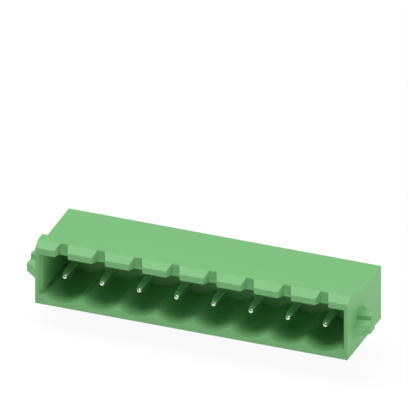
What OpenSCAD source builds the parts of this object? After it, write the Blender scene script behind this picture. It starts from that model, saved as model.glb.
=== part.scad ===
// Horizontal pin header for pluggable terminal blocks, for a printed circuit board.
// Millimetres. The origin is the middle of the row of solder legs, on the board.
// +X runs along the row, -Y is the mouth that takes the plug, +Z points away from the board.

/* [Contacts] */
// Number of contacts in the row
ways = 8; // [2:1:16]
// Distance between neighbouring contacts
pitch = 5.08; // [4.5:0.01:7.62]
// Thickness of the square contact pins
pin_w = 1; // [0.8:0.05:1.2]
// Height of the contact axis above the board
contact_z = 3.8; // [3.5:0.05:4.1]
// Distance of the pin tips behind the mouth
tip_setback = 1.1; // [0.5:0.1:3]
// Width of the blunt ends of a pin
tip_flat = 0.5; // [0.3:0.05:0.7]
// Length of the tapers at the ends of a pin
tip_taper = 0.8; // [0.3:0.1:1.5]
// Inside radius of the bend between contact and solder leg
bend_r = 0.3; // [0.1:0.05:0.4]
// Length of a solder leg below the board side of the housing
solder_leg = 3.5; // [2.5:0.1:5]
// Clearance between a pin and the passage that holds it
pin_fit = 0.02; // [0.01:0.01:0.1]

/* [Housing] */
// Distance from the outer contacts to the ends of the housing
end_margin = 3.54; // [3.2:0.01:5]
// Depth of the housing from mouth to rear
body_depth = 12; // [11.6:0.1:15]
// Distance from the solder legs to the rear
rear_margin = 2; // [1.4:0.1:3]
// Height of the flat deck above the board
deck_z = 7.6; // [7.2:0.05:9]
// Rise of the latch rim above the deck
rim_rise = 1.1; // [0.4:0.05:1.5]
// Drop of the bevel from the rim's crest to the mouth
bevel_drop = 0.7; // [0.2:0.05:1]
// Depth of the bevel at the mouth, which is also the depth of the keying notches
bevel_depth = 1.07; // [0.6:0.01:1.5]
// Depth of the flat crest of the rim
crest_depth = 1.53; // [0.5:0.01:2.5]
// Depth of the slope from the crest down to the deck
slope_depth = 1.65; // [0.5:0.05:2.5]

/* [Plug bay] */
// Depth of the bay from the mouth to its back wall
bay_depth = 8.9; // [8:0.05:9.1]
// Thickness of the end walls
end_wall = 0.8; // [0.7:0.01:1]
// Thickness of the roof under the deck
roof_wall = 0.85; // [0.6:0.05:1.2]
// Height of the lip's face over the mouth
lip_face = 0.85; // [0.4:0.05:1]
// Height of the floor between the scallops
floor_z = 1.45; // [1:0.05:1.8]
// Thickness of the floor under the middle of each scallop
scallop_floor = 0.6; // [0.4:0.05:0.9]
// Width that the end walls lose at the mouth, to lead the plug in
lead_in_w = 0.37; // [0.1:0.01:0.5]
// Depth of that lead-in
lead_in_depth = 0.8; // [0.3:0.1:2]

/* [Keying notches] */
// Width of a notch at its back
notch_back_w = 1.04; // [0.6:0.02:1.6]
// Width of a notch at the mouth
notch_mouth_w = 1.84; // [1.2:0.02:2.6]

/* [Rear slots] */
// Width of the open slot behind each solder leg
slot_w = 2.2; // [1.4:0.1:3]
// Headroom of that slot above the pin
slot_head = 0.6; // [0.2:0.1:1.2]

/* [Latch lugs] */
// Distance from the mouth to the start of a lug's ramp
ramp_start = 1.35; // [0.8:0.05:1.8]
// Depth of the ramp from its start to the lug's outer face
ramp_depth = 1.3; // [0.8:0.05:1.6]
// Reach of the outer face from the end of the housing
lug_reach = 2.15; // [1.4:0.05:3]
// Depth of the outer face
outer_depth = 1.5; // [1.2:0.05:2]
// Depth of the flank that a latch hooks behind
flank_depth = 1.65; // [0.5:0.05:2.5]
// Height of the underside of a lug where it leaves the housing
lug_low_z = 2.4; // [1.8:0.05:2.8]
// Rise of the underside to the outer face
lug_low_rise = 0.53; // [0:0.01:0.8]
// Height of the ramp's top at its front and at the outer face
ramp_z = 3.85; // [3.6:0.05:4.1]
// Height of the ramp's top at the foot of the step
ledge_z = 4.35; // [4.2:0.05:4.6]
// Height of the lug's top behind the step
lug_top_z = 5; // [4.8:0.05:6]
// Distance from the mouth to the step, at the housing
step_start = 3.15; // [3:0.05:3.6]
// Amount by which the step falls back at the outer face
step_skew = 0.43; // [0:0.01:0.6]
// Amount by which the lug reaches less far above the ledge
step_inset = 0.23; // [0:0.01:0.5]

/* [Hidden] */

$fn = 96;
// Overrun of a cut past the face that it opens
over = 0.2;

half_pin = pin_w / 2;
half_hole = half_pin + pin_fit;
row_length = (ways - 1) * pitch;
half_width = row_length / 2 + end_margin;
mouth_y = rear_margin - body_depth;
rim_z = deck_z + rim_rise;
mouth_top_z = rim_z - bevel_drop;
crest_end = bevel_depth + crest_depth;
slope_end = crest_end + slope_depth;
scallop_r = contact_z - scallop_floor;
bend_y = -half_pin - bend_r;
bend_z = contact_z - half_pin - bend_r;
outer_start = ramp_start + ramp_depth;
outer_end = outer_start + outer_depth;
flank_end = outer_end + flank_depth;

function contact_x(i) = (i - (ways + 1) / 2) * pitch;

// Extrudes a profile of depth behind the mouth against height, along X.
module along_x(x_from, x_to) {
    translate([x_from, mouth_y, 0])
        rotate([90, 0, 90])
            linear_extrude(x_to - x_from) children();
}

// Extrudes a profile of X against height, along the depth behind the mouth.
module along_depth(d_from, d_to) {
    translate([0, mouth_y + d_to, 0])
        rotate([90, 0, 0])
            linear_extrude(d_to - d_from) children();
}

// Extrudes a profile of X against depth behind the mouth, upwards.
module upwards(z_from, z_to) {
    translate([0, mouth_y, z_from])
        linear_extrude(z_to - z_from) children();
}

module at_each_contact() {
    for (i = [1:ways])
        translate([contact_x(i), 0, 0]) children();
}

// Outside of the body: board side, mouth, bevel, rim, slope, deck and rear.
module body_block() {
    along_x(-half_width, half_width)
        polygon([
            [0, 0],
            [0, mouth_top_z],
            [bevel_depth, rim_z],
            [crest_end, rim_z],
            [slope_end, deck_z],
            [body_depth, deck_z],
            [body_depth, 0],
        ]);
}

// Room for the plug, wider at the mouth on both sides and under the lip.
module plug_bay() {
    roof_z = deck_z - roof_wall;
    side = half_width - end_wall;
    mouth_side = side + lead_in_w;
    intersection() {
        along_x(-half_width, half_width)
            polygon([
                [-over, floor_z],
                [-over, mouth_top_z - lip_face],
                [0, mouth_top_z - lip_face],
                [slope_end, roof_z],
                [bay_depth, roof_z],
                [bay_depth, floor_z],
            ]);
        upwards(0, rim_z)
            polygon([
                [-mouth_side, -over],
                [-mouth_side, 0],
                [-side, lead_in_depth],
                [-side, bay_depth],
                [side, bay_depth],
                [side, lead_in_depth],
                [mouth_side, 0],
                [mouth_side, -over],
            ]);
    }
}

// Round trough in the floor of the bay, concentric with the contact.
module scallop() {
    intersection() {
        along_depth(-over, bay_depth)
            translate([0, contact_z]) circle(r = scallop_r);
        along_depth(-over, bay_depth)
            translate([-scallop_r, 0]) square([2 * scallop_r, floor_z + over]);
    }
}

// Dovetail cut through the lip over a contact, for a coding profile.
module keying_notch() {
    flare = (notch_mouth_w - notch_back_w) / 2 / bevel_depth;
    front_w = notch_mouth_w + 2 * flare * over;
    upwards(mouth_top_z - lip_face - over, rim_z + over)
        polygon([
            [-front_w / 2, -over],
            [front_w / 2, -over],
            [notch_back_w / 2, bevel_depth],
            [-notch_back_w / 2, bevel_depth],
        ]);
}

// Passage through the back wall and down to the board that grips a bent pin.
module pin_passage() {
    leg_d = -mouth_y;
    along_x(-half_hole, half_hole)
        polygon([
            [bay_depth - over, contact_z + half_hole],
            [leg_d + half_hole, contact_z + half_hole],
            [leg_d + half_hole, -over],
            [leg_d - half_hole, -over],
            [leg_d - half_hole, bend_z - pin_fit],
            [leg_d + bend_y - pin_fit, bend_z - pin_fit],
            [leg_d + bend_y - pin_fit, contact_z - half_hole],
            [bay_depth - over, contact_z - half_hole],
        ]);
}

// Slot that opens the passage to the rear, so that the pin can be pushed in.
module rear_slot() {
    top_z = contact_z + half_hole + slot_head;
    translate([-slot_w / 2, half_pin, -over])
        cube([slot_w, rear_margin - half_pin + over, top_z + over]);
}

// Latch lug on the +X end: what its plan and end profiles share with the ramp and the step on it.
module latch_lug() {
    root = end_wall / 2;
    top_reach = lug_reach - step_inset;
    translate([half_width, 0, 0])
        intersection() {
            upwards(0, lug_top_z)
                polygon([
                    [-root, ramp_start],
                    [0, ramp_start],
                    [lug_reach, outer_start],
                    [lug_reach, outer_end],
                    [0, flank_end],
                    [-root, flank_end],
                ]);
            along_depth(ramp_start, flank_end)
                polygon([
                    [-root, lug_low_z],
                    [0, lug_low_z],
                    [lug_reach, lug_low_z + lug_low_rise],
                    [lug_reach, ramp_z],
                    [top_reach, ledge_z],
                    [top_reach, lug_top_z],
                    [-root, lug_top_z],
                ]);
            union() {
                along_x(-root, lug_reach)
                    polygon([
                        [ramp_start, 0],
                        [ramp_start, ramp_z],
                        [step_start, ledge_z],
                        [flank_end, ledge_z],
                        [flank_end, 0],
                    ]);
                upwards(0, lug_top_z)
                    polygon([
                        [-root, step_start],
                        [0, step_start],
                        [lug_reach, step_start + step_skew],
                        [lug_reach, flank_end],
                        [-root, flank_end],
                    ]);
            }
        }
}

// Tapered end of a pin, from its full section at the origin up to the blunt end.
module pin_taper() {
    intersection() {
        rotate([90, 0, 0]) pin_taper_prism();
        rotate([90, 0, 90]) pin_taper_prism();
    }
}

module pin_taper_prism() {
    linear_extrude(pin_w, center = true)
        polygon([
            [-half_pin, 0],
            [half_pin, 0],
            [tip_flat / 2, tip_taper],
            [-tip_flat / 2, tip_taper],
        ]);
}

module square_bar(length) {
    translate([-half_pin, -half_pin, 0]) cube([pin_w, pin_w, length]);
}

module housing() {
    color("#7db97e")
        difference() {
            union() {
                body_block();
                latch_lug();
                mirror([1, 0, 0]) latch_lug();
            }
            plug_bay();
            at_each_contact() {
                scallop();
                keying_notch();
                pin_passage();
                rear_slot();
            }
        }
}

// Contact, bend and solder leg, one piece of square wire.
module pin(i) {
    shaft_y = mouth_y + tip_setback + tip_taper;
    leg_end_z = tip_taper - solder_leg;
    color("#c9ccce")
        translate([contact_x(i), 0, 0]) {
            translate([0, shaft_y, contact_z]) rotate([90, 0, 0]) pin_taper();
            translate([0, shaft_y, contact_z]) rotate([-90, 0, 0]) square_bar(bend_y - shaft_y);
            translate([0, bend_y, bend_z])
                rotate([90, 0, 90])
                    rotate_extrude(angle = 90)
                        translate([bend_r, -half_pin]) square(pin_w);
            translate([0, 0, leg_end_z]) square_bar(bend_z - leg_end_z);
            translate([0, 0, leg_end_z]) rotate([180, 0, 0]) pin_taper();
        }
}

housing();
for (i = [1:ways])
    pin(i);
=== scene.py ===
import math

import bpy
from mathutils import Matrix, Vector


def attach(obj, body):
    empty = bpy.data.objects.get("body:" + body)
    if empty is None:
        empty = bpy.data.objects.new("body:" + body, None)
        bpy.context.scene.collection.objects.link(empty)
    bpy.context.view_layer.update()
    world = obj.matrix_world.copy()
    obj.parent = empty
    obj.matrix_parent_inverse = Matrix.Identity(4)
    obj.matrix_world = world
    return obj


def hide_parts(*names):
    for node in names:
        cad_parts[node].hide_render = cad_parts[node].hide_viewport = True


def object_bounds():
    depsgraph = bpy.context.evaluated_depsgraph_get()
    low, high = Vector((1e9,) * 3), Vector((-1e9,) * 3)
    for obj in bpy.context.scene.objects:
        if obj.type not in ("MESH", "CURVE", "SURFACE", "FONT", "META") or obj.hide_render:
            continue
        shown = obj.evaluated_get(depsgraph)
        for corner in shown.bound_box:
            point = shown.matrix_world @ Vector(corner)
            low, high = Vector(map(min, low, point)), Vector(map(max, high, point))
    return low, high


bl_info = {
    "name": "Terminal Block Header",
    "version": (1, 0, 0),
    "blender": (4, 5, 0),
    "location": "View3D > Sidebar > Header",
    "description": "Finishes a pin header: moulded housing, plated contact pins and a white studio",
    "category": "Object",
}

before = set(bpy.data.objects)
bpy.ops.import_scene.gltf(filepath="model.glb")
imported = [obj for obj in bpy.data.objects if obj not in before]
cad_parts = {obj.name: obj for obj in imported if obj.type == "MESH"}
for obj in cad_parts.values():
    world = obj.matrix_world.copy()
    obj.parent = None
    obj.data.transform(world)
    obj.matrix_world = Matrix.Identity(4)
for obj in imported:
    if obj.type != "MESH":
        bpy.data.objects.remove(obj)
CAD_LOW, CAD_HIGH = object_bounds()

MM = 0.001
# Points and faces nearer to each other than this lie in one place.
TOUCH = 0.001 * MM
# Faces that turn by less than this are one flat face.
FLAT_TURN = math.radians(0.5)
# The normal of an end face of the housing points along X by more than this share.
END_FACING = 0.999
# Faces across each rounding
TIP_SEGMENTS = 5
ROOT_SEGMENTS = 4
EDGE_SEGMENTS = 2
# Shading of a bevelled edge follows the larger of its two faces by this weight.
LARGE_FACE_WEIGHT = 100
# Streaks that the melt leaves, and the depth of the eroded mould's grain
FLOW_SIZE = 9 * MM
GRAIN_DEPTH = 0.02 * MM
BODY = "root"
PIN_NODES = sorted((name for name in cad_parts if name.startswith("pin_")),
                   key=lambda name: int(name.split("_")[1]))


def to_linear(hex_code):
    """Linear RGBA of an sRGB hex colour."""
    channels = [int(hex_code[i:i + 2], 16) / 255 for i in (1, 3, 5)]
    linear = [c / 12.92 if c <= 0.04045 else ((c + 0.055) / 1.055) ** 2.4 for c in channels]
    return (*linear, 1.0)


# Settings that a user would change

class HousingSettings(bpy.types.PropertyGroup):
    edge_radius: bpy.props.FloatProperty(
        name="Edge Radius", description="Radius that moulding leaves on the outer edges",
        default=0.01 * MM, min=0, unit="LENGTH", subtype="DISTANCE", precision=5)
    sharp_angle: bpy.props.FloatProperty(
        name="Sharp Angle", description="Edges that turn by more than this are rounded",
        default=math.radians(12), unit="ROTATION", subtype="ANGLE")
    root_radius: bpy.props.FloatProperty(
        name="Root Radius", description="Radius in the corner between a latch lug and its end wall",
        default=0.2 * MM, min=0, unit="LENGTH", subtype="DISTANCE", precision=5)
    colour: bpy.props.FloatVectorProperty(
        name="Colour", description="Green of the plastic",
        default=to_linear("#7CBA7B"), size=4, min=0, max=1, subtype="COLOR")
    flow_colour: bpy.props.FloatVectorProperty(
        name="Flow Colour", description="Slightly deeper green where the melt flowed together",
        default=to_linear("#78B778"), size=4, min=0, max=1, subtype="COLOR")
    grain: bpy.props.FloatProperty(
        name="Grain", description="Size of the grain that the eroded mould leaves",
        default=0.16 * MM, min=0, unit="LENGTH", subtype="DISTANCE", precision=5)


class ContactSettings(bpy.types.PropertyGroup):
    edge_radius: bpy.props.FloatProperty(
        name="Edge Radius", description="Radius on the long edges of the wire",
        default=0.06 * MM, min=0, unit="LENGTH", subtype="DISTANCE", precision=5)
    sharp_angle: bpy.props.FloatProperty(
        name="Sharp Angle", description="Edges that turn by more than this are rounded",
        default=math.radians(30), unit="ROTATION", subtype="ANGLE")
    tip_radius: bpy.props.FloatProperty(
        name="Tip Radius", description="Radius that rounds the blunt tip over into its taper",
        default=0.2 * MM, min=0, unit="LENGTH", subtype="DISTANCE", precision=5)
    # The plating's grey-white is tinted green: a painted reflection of the green housing round the
    # pins.
    colour: bpy.props.FloatVectorProperty(
        name="Colour", description="Colour of the tin plating",
        default=to_linear("#DAE8DA"), size=4, min=0, max=1, subtype="COLOR")
    crystal: bpy.props.FloatProperty(
        name="Crystal", description="Size of the crystals in the plating",
        default=0.25 * MM, min=0, unit="LENGTH", subtype="DISTANCE", precision=5)


class StageSettings(bpy.types.PropertyGroup):
    azimuth: bpy.props.FloatProperty(
        name="Azimuth", description="Direction of the view about the vertical",
        default=math.radians(21.0), unit="ROTATION", subtype="ANGLE")
    elevation: bpy.props.FloatProperty(
        name="Elevation", description="Height of the view above the horizon",
        default=math.radians(28.7), unit="ROTATION", subtype="ANGLE")
    view_width: bpy.props.FloatProperty(
        name="View Width", description="Width of the square picture at the object",
        default=52.0 * MM, min=0, unit="LENGTH", subtype="DISTANCE")
    aim_right: bpy.props.FloatProperty(
        name="Aim Right", description="Middle of the picture, to the right of the object's origin",
        default=-1.958 * MM, unit="LENGTH", subtype="DISTANCE")
    aim_up: bpy.props.FloatProperty(
        name="Aim Up", description="Middle of the picture, above the object's origin",
        default=11.78 * MM, unit="LENGTH", subtype="DISTANCE")
    ambient: bpy.props.FloatProperty(
        name="Ambient", description="Brightness with which the room itself lights the object",
        default=0.02, min=0)
    key_power: bpy.props.FloatProperty(
        name="Key Power",
        description="Irradiance from the small box above the mouth, in watts per square metre",
        default=0.5, min=0)
    top_left_power: bpy.props.FloatProperty(
        name="Top Left Power",
        description="Irradiance from the large box overhead, in watts per square metre",
        default=2.13, min=0)
    top_right_power: bpy.props.FloatProperty(
        name="Top Right Power",
        description="Irradiance from the second box overhead, in watts per square metre",
        default=0.41, min=0)
    right_power: bpy.props.FloatProperty(
        name="Right Power",
        description="Irradiance from the box on the right, in watts per square metre",
        default=1.22, min=0)
    left_power: bpy.props.FloatProperty(
        name="Left Power",
        description="Irradiance from the box on the left, in watts per square metre",
        default=0.66, min=0)
    front_power: bpy.props.FloatProperty(
        name="Front Power",
        description="Irradiance from the box before the mouth, in watts per square metre",
        default=0.213, min=0)
    shadow: bpy.props.FloatProperty(
        name="Shadow", description="Share of the object's shadow that the white floor shows",
        default=0.06, min=0, max=1, subtype="FACTOR")
    mirrored_shadow: bpy.props.FloatProperty(
        name="Mirrored Shadow",
        description="Share of the object's shadow that metal mirrors in the floor",
        default=0.8, min=0, max=1, subtype="FACTOR")


# Shader building

def new_material(name):
    material = bpy.data.materials.new(name)
    material.use_nodes = True
    material.node_tree.nodes.clear()
    return material


def add_node(tree, kind, inputs, **settings):
    """Adds a node with its settings. A socket given as an input is linked, and a value is set."""
    node = tree.nodes.new(kind)
    for name, value in settings.items():
        setattr(node, name, value)
    for name, value in inputs.items():
        if isinstance(value, bpy.types.NodeSocket):
            tree.links.new(value, node.inputs[name])
        else:
            node.inputs[name].default_value = value
    return node


def moulded_polyester(settings):
    """Green polyester from an eroded mould: a satin skin whose fine grain breaks up highlights."""
    material = new_material("moulded_green_polyester")
    tree = material.node_tree
    place = add_node(tree, "ShaderNodeTexCoord", {}).outputs["Object"]
    flow = add_node(tree, "ShaderNodeTexNoise", {
        "Vector": place, "Scale": 1 / FLOW_SIZE, "Detail": 2.0, "Distortion": 0.6})
    colour = add_node(tree, "ShaderNodeMix", {
        "Factor": flow.outputs["Fac"], "A": settings.colour, "B": settings.flow_colour,
    }, data_type="RGBA")
    # The true grain is about 0.02 mm, too fine to show, so it is drawn coarser.
    grain = add_node(tree, "ShaderNodeTexNoise", {
        "Vector": place, "Scale": 1 / settings.grain, "Detail": 3.0, "Roughness": 0.6})
    roughness = add_node(tree, "ShaderNodeMapRange", {
        "Value": grain.outputs["Fac"], "To Min": 0.38, "To Max": 0.52})
    bump = add_node(tree, "ShaderNodeBump", {
        "Height": grain.outputs["Fac"], "Strength": 0.12, "Distance": GRAIN_DEPTH})
    shader = add_node(tree, "ShaderNodeBsdfPrincipled", {
        "Base Color": colour.outputs["Result"], "Roughness": roughness.outputs["Result"],
        "Normal": bump.outputs["Normal"], "IOR": 1.5, "Specular IOR Level": 0.15})
    add_node(tree, "ShaderNodeOutputMaterial", {"Surface": shader.outputs["BSDF"]})
    return material


def tin_plate(settings):
    """Tin plated on drawn wire: bright, faintly mottled metal that mirrors what is round it."""
    material = new_material("tin_plated_wire")
    tree = material.node_tree
    place = add_node(tree, "ShaderNodeTexCoord", {}).outputs["Object"]
    crystals = add_node(tree, "ShaderNodeTexVoronoi", {
        "Vector": place, "Scale": 1 / settings.crystal, "Randomness": 1.0})
    roughness = add_node(tree, "ShaderNodeMapRange", {
        "Value": crystals.outputs["Distance"], "To Min": 0.25, "To Max": 0.27})
    # The plating colour carries a green tint, a painted reflection of the green housing round the
    # pins.
    shader = add_node(tree, "ShaderNodeBsdfPrincipled", {
        "Base Color": settings.colour, "Metallic": 1.0, "Roughness": roughness.outputs["Result"]})
    add_node(tree, "ShaderNodeOutputMaterial", {"Surface": shader.outputs["BSDF"]})
    return material


def seen_rays(tree):
    """1 for a ray straight from the camera, and 1 for a ray that metal or glass has turned."""
    rays = add_node(tree, "ShaderNodeLightPath", {}).outputs
    turned = add_node(tree, "ShaderNodeMath", {
        0: rays["Is Glossy Ray"], 1: rays["Is Transmission Ray"]}, operation="MAXIMUM")
    return rays["Is Camera Ray"], turned.outputs["Value"]


def white_floor(settings):
    """Seamless white paper: matt, and white to the eye but for a share of the object's shadow."""
    material = new_material("white_paper")
    tree = material.node_tree
    paper = add_node(tree, "ShaderNodeBsdfDiffuse", {"Color": to_linear("#F4F4F4")})
    glow = add_node(tree, "ShaderNodeEmission", {"Color": to_linear("#FFFFFF"), "Strength": 1.0})
    straight, turned = seen_rays(tree)
    direct = add_node(tree, "ShaderNodeMath", {
        0: straight, 1: 1 - settings.shadow}, operation="MULTIPLY")
    share = add_node(tree, "ShaderNodeMath", {
        0: turned, 1: 1 - settings.mirrored_shadow, 2: direct.outputs["Value"],
    }, operation="MULTIPLY_ADD")
    mix = add_node(tree, "ShaderNodeMixShader", {
        "Fac": share.outputs["Value"], 1: paper.outputs["BSDF"], 2: glow.outputs["Emission"]})
    add_node(tree, "ShaderNodeOutputMaterial", {"Surface": mix.outputs["Shader"]})
    return material


def black_felt():
    """Black felt on a card: it reflects next to nothing."""
    material = new_material("black_felt")
    felt = add_node(material.node_tree, "ShaderNodeBsdfDiffuse", {"Color": to_linear("#050505")})
    add_node(material.node_tree, "ShaderNodeOutputMaterial", {"Surface": felt.outputs["BSDF"]})
    return material


# Modelling

def deselect_all():
    if bpy.context.object and bpy.context.object.mode != "OBJECT":
        bpy.ops.object.mode_set(mode="OBJECT")
    bpy.ops.object.select_all(action="DESELECT")


def make_active(piece):
    deselect_all()
    piece.select_set(True)
    bpy.context.view_layer.objects.active = piece


def merged_copy(node, name):
    """Copy of a solid with its triangles merged into faces, in place of that solid."""
    piece = bpy.data.objects.new(name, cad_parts[node].data.copy())
    bpy.context.scene.collection.objects.link(piece)
    make_active(piece)
    bpy.ops.object.mode_set(mode="EDIT")
    bpy.ops.mesh.select_all(action="SELECT")
    bpy.ops.mesh.remove_doubles(threshold=TOUCH)
    bpy.ops.mesh.dissolve_limited(angle_limit=FLAT_TURN)
    bpy.ops.object.mode_set(mode="OBJECT")
    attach(piece, BODY)
    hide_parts(node)
    return piece


def round_tip(piece, radius):
    """Rounds the edges of the face that lies furthest out of the mouth."""
    make_active(piece)
    front = min(corner.co.y for corner in piece.data.vertices)
    for face in piece.data.polygons:
        face.select = all(piece.data.vertices[i].co.y < front + TOUCH for i in face.vertices)
    bpy.ops.object.mode_set(mode="EDIT")
    bpy.ops.mesh.select_mode(type="FACE")
    bpy.ops.mesh.bevel(offset=radius, segments=TIP_SEGMENTS, affect="EDGES")
    bpy.ops.object.mode_set(mode="OBJECT")


def fill_lug_roots(piece, radius):
    """Fills the corner between each latch lug and its end wall with a radius."""
    make_active(piece)
    bpy.context.tool_settings.mesh_select_mode = (False, True, False)
    bpy.ops.object.mode_set(mode="EDIT")
    bpy.ops.mesh.select_all(action="DESELECT")
    bpy.ops.object.mode_set(mode="OBJECT")
    faces = piece.data.polygons
    ends = [face for face in faces if abs(face.normal.x) > END_FACING]
    wall_x = abs(max(ends, key=lambda face: face.area).center.x)
    walls = [face for face in ends if abs(abs(face.center.x) - wall_x) < TOUCH]
    lugs = [face for face in faces if abs(face.center.x) > wall_x + TOUCH]
    wall_edges = {key for face in walls for key in face.edge_keys}
    lug_edges = {key for face in lugs for key in face.edge_keys}
    roots = wall_edges & lug_edges
    for edge in piece.data.edges:
        edge.select = edge.key in roots
    bpy.ops.object.mode_set(mode="EDIT")
    bpy.ops.mesh.bevel(offset=radius, segments=ROOT_SEGMENTS, affect="EDGES", clamp_overlap=True)
    bpy.ops.object.mode_set(mode="OBJECT")


def finish_surface(piece, radius, sharp_angle, material):
    """Rounds the sharp edges, keeps the shading of flat faces flat and puts the material on."""
    make_active(piece)
    bevel = piece.modifiers.new("edge_radius", "BEVEL")
    bevel.width = radius
    bevel.segments = EDGE_SEGMENTS
    bevel.limit_method = "ANGLE"
    bevel.angle_limit = sharp_angle
    bpy.ops.object.modifier_apply(modifier=bevel.name)
    bpy.ops.object.shade_smooth()
    flatten = piece.modifiers.new("flat_faces", "WEIGHTED_NORMAL")
    flatten.weight = LARGE_FACE_WEIGHT
    bpy.ops.object.modifier_apply(modifier=flatten.name)
    piece.data.materials.clear()
    piece.data.materials.append(material)


# Operators

class HEADER_OT_housing(bpy.types.Operator):
    """Moulds the housing: rounds its edges and gives it the green plastic"""
    bl_idname = "header.housing"
    bl_label = "Mould Housing"

    def execute(self, context):
        settings = context.scene.header_housing
        housing = merged_copy("housing", "moulded_housing")
        fill_lug_roots(housing, settings.root_radius)
        plastic = moulded_polyester(settings)
        finish_surface(housing, settings.edge_radius, settings.sharp_angle, plastic)
        return {"FINISHED"}


class HEADER_OT_contacts(bpy.types.Operator):
    """Finishes the row of contact pins: rounds the wire's edges and plates it"""
    bl_idname = "header.contacts"
    bl_label = "Plate Contacts"

    def execute(self, context):
        settings = context.scene.header_contacts
        plating = tin_plate(settings)
        for node in PIN_NODES:
            pin = merged_copy(node, f"plated_{node}")
            round_tip(pin, settings.tip_radius)
            finish_surface(pin, settings.edge_radius, settings.sharp_angle, plating)
        return {"FINISHED"}


class HEADER_OT_stage(bpy.types.Operator):
    """Sets up the white floor, the room, the dark cards, the lamps and the camera"""
    bl_idname = "header.stage"
    bl_label = "Set Stage"

    # In metres
    FLOOR_WIDTH = 3.0
    CARD_WIDTH = 1.2
    CARD_DISTANCE = 0.25
    CAMERA_DISTANCE = 0.3
    CLIP_NEAR = 0.001
    CLIP_FAR = 10.0

    def execute(self, context):
        settings = context.scene.header_stage
        self.add_floor(settings)
        self.add_room(context.scene, settings)
        felt = black_felt()
        self.add_card("front_card", -self.CARD_DISTANCE, felt)
        self.add_card("back_card", self.CARD_DISTANCE, felt)
        self.add_soft_box("key_box", settings.key_power, turn=0, rise=75, size=16)
        self.add_soft_box("top_left_box", settings.top_left_power, turn=262, rise=74, size=38)
        self.add_soft_box("top_right_box", settings.top_right_power, turn=90, rise=70, size=30)
        self.add_soft_box("right_box", settings.right_power, turn=86, rise=18, size=45)
        self.add_soft_box("left_box", settings.left_power, turn=278, rise=22, size=50)
        # The pin tips mirror the front card, as in the photo, and not this box.
        fill = self.add_soft_box("front_box", settings.front_power, turn=345, rise=6, size=16)
        fill.visible_glossy = False
        self.add_camera(context.scene, settings)
        context.scene.view_settings.view_transform = "Standard"
        return {"FINISHED"}

    def add_floor(self, settings):
        deselect_all()
        bpy.ops.mesh.primitive_plane_add(size=self.FLOOR_WIDTH, location=(0, 0, CAD_LOW.z))
        floor = bpy.context.object
        floor.name = "floor"
        floor.data.materials.append(white_floor(settings))

    def add_room(self, scene, settings):
        world = bpy.data.worlds.new("white_room")
        world.use_nodes = True
        world.node_tree.nodes.clear()
        tree = world.node_tree
        straight, turned = seen_rays(tree)
        seen = add_node(tree, "ShaderNodeMath", {0: straight, 1: turned}, operation="MAXIMUM")
        strength = add_node(tree, "ShaderNodeMapRange", {
            "Value": seen.outputs["Value"], "To Min": settings.ambient, "To Max": 1.0})
        room = add_node(tree, "ShaderNodeBackground", {
            "Color": to_linear("#FFFFFF"), "Strength": strength.outputs["Result"]})
        add_node(tree, "ShaderNodeOutputWorld", {"Surface": room.outputs["Background"]})
        scene.world = world

    def add_card(self, name, place, felt):
        """Upright dark card in reflections only: no sheen on the deck, and dark bands on metal."""
        deselect_all()
        bpy.ops.mesh.primitive_plane_add(
            size=self.CARD_WIDTH, location=(0, place, CAD_LOW.z), rotation=(math.radians(90), 0, 0))
        card = bpy.context.object
        card.name = name
        card.data.materials.append(felt)
        card.visible_camera = card.visible_diffuse = False
        card.visible_shadow = card.visible_transmission = False

    def towards(self, turn, rise):
        """Direction from the object: a turn to the right of the mouth and a rise above level."""
        level = math.cos(rise)
        return Vector((math.sin(turn) * level, -math.cos(turn) * level, math.sin(rise)))

    def add_soft_box(self, name, power, turn, rise, size):
        """Far soft box, as a sun that fills a wide angle: its light is even over the object."""
        deselect_all()
        bpy.ops.object.light_add(type="SUN")
        lamp = bpy.context.object
        lamp.name = name
        lamp.data.energy = power
        lamp.data.angle = math.radians(size)
        towards = self.towards(math.radians(turn), math.radians(rise))
        lamp.rotation_euler = towards.to_track_quat("Z", "Y").to_euler()
        return lamp

    def add_camera(self, scene, settings):
        right = Vector((math.cos(settings.azimuth), math.sin(settings.azimuth), 0))
        back = self.towards(settings.azimuth, settings.elevation)
        up = back.cross(right)
        aim = right * settings.aim_right + up * settings.aim_up
        deselect_all()
        bpy.ops.object.camera_add(location=aim + back * self.CAMERA_DISTANCE)
        camera = bpy.context.object
        camera.name = "photo_camera"
        camera.rotation_euler = (-back).to_track_quat("-Z", "Y").to_euler()
        camera.data.type = "ORTHO"
        camera.data.ortho_scale = settings.view_width
        camera.data.clip_start = self.CLIP_NEAR
        camera.data.clip_end = self.CLIP_FAR
        scene.camera = camera


class HEADER_PT_panel(bpy.types.Panel):
    """Lists the steps that finish the header"""
    bl_idname = "HEADER_PT_panel"
    bl_label = "Terminal Block Header"
    bl_space_type = "VIEW_3D"
    bl_region_type = "UI"
    bl_category = "Header"

    def draw(self, context):
        for group, step in ((context.scene.header_housing, HEADER_OT_housing),
                            (context.scene.header_contacts, HEADER_OT_contacts),
                            (context.scene.header_stage, HEADER_OT_stage)):
            box = self.layout.box()
            for name in group.__annotations__:
                box.prop(group, name)
            box.operator(step.bl_idname)


SETTINGS = {
    "header_housing": HousingSettings,
    "header_contacts": ContactSettings,
    "header_stage": StageSettings,
}
CLASSES = (
    *SETTINGS.values(), HEADER_OT_housing, HEADER_OT_contacts, HEADER_OT_stage, HEADER_PT_panel)


def register():
    for cls in CLASSES:
        bpy.utils.register_class(cls)
    for name, group in SETTINGS.items():
        setattr(bpy.types.Scene, name, bpy.props.PointerProperty(type=group))


def unregister():
    for name in SETTINGS:
        delattr(bpy.types.Scene, name)
    for cls in reversed(CLASSES):
        bpy.utils.unregister_class(cls)


def main():
    register()
    bpy.ops.header.stage()
    bpy.ops.header.housing()
    bpy.ops.header.contacts()


if __name__ == "__main__":
    main()
